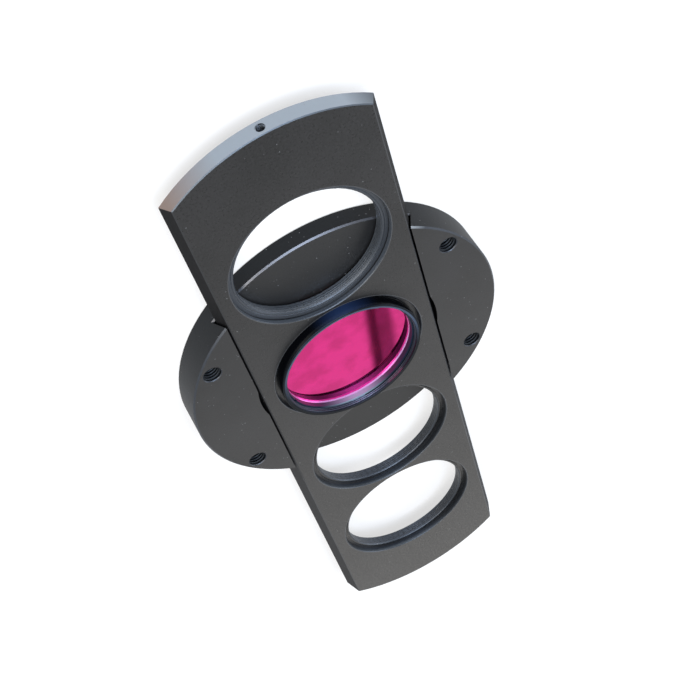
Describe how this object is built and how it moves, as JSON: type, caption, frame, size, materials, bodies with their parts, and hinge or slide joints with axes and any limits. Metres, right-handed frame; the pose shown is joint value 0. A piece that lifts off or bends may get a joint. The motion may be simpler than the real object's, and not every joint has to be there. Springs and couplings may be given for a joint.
{
  "type": "filter slide",
  "caption": "Straight dovetail slide plate with threaded filter openings in a round base with a light bore.",
  "frame": {"origin": "centre of the four mounting holes on the base's back face, on the axis of its light bore", "axes": "+Z out of the open face with the slide plate, +X along the travel, away from the end of the plate with the small hole, +Y across the plate"},
  "size_m": [0.2691, 0.108, 0.0153],
  "materials": {
    "black_anodised": "bead-blasted and black anodised",
    "black_anodised_plate": "bead-blasted and black anodised, with brighter turned walls",
    "gloss_black_cell": "fine turned, glossy black anodised",
    "gloss_black_ring": "fine turned, black anodised",
    "pink_coated_glass": "polished, with a coating that reflects pink",
    "plunger_steel": "turned",
    "spring_steel": "drawn wire",
    "ball_steel": "polished hardened steel"
  },
  "bodies": {
    "base": {"base_plate": "black_anodised", "plunger_sleeve_left": "plunger_steel", "plunger_spring_left": "spring_steel", "plunger_sleeve_right": "plunger_steel", "plunger_spring_right": "spring_steel"},
    "slide": {"slide_plate": "black_anodised_plate", "filter_cell": "gloss_black_cell", "filter_glass": "pink_coated_glass", "filter_retaining_ring": "gloss_black_ring"},
    "ball_left": {"plunger_ball_left": "ball_steel"},
    "ball_right": {"plunger_ball_right": "ball_steel"}
  },
  "joints": [
    {"name": "plate_travel", "type": "slide", "parent": "base", "child": "slide", "axis": [1, 0, 0], "range_m": [-0.108, 0.054]},
    {"name": "ball_press_left", "type": "slide", "parent": "base", "child": "ball_left", "axis": [0, 0, 1], "range_m": [0, 0.0005], "stiffness_N_per_m": 3000, "springref_m": 0.0005, "deforming": ["plunger_spring_left"]},
    {"name": "ball_press_right", "type": "slide", "parent": "base", "child": "ball_right", "axis": [0, 0, 1], "range_m": [0, 0.0005], "stiffness_N_per_m": 3000, "springref_m": 0.0005, "deforming": ["plunger_spring_right"]}
  ]
}
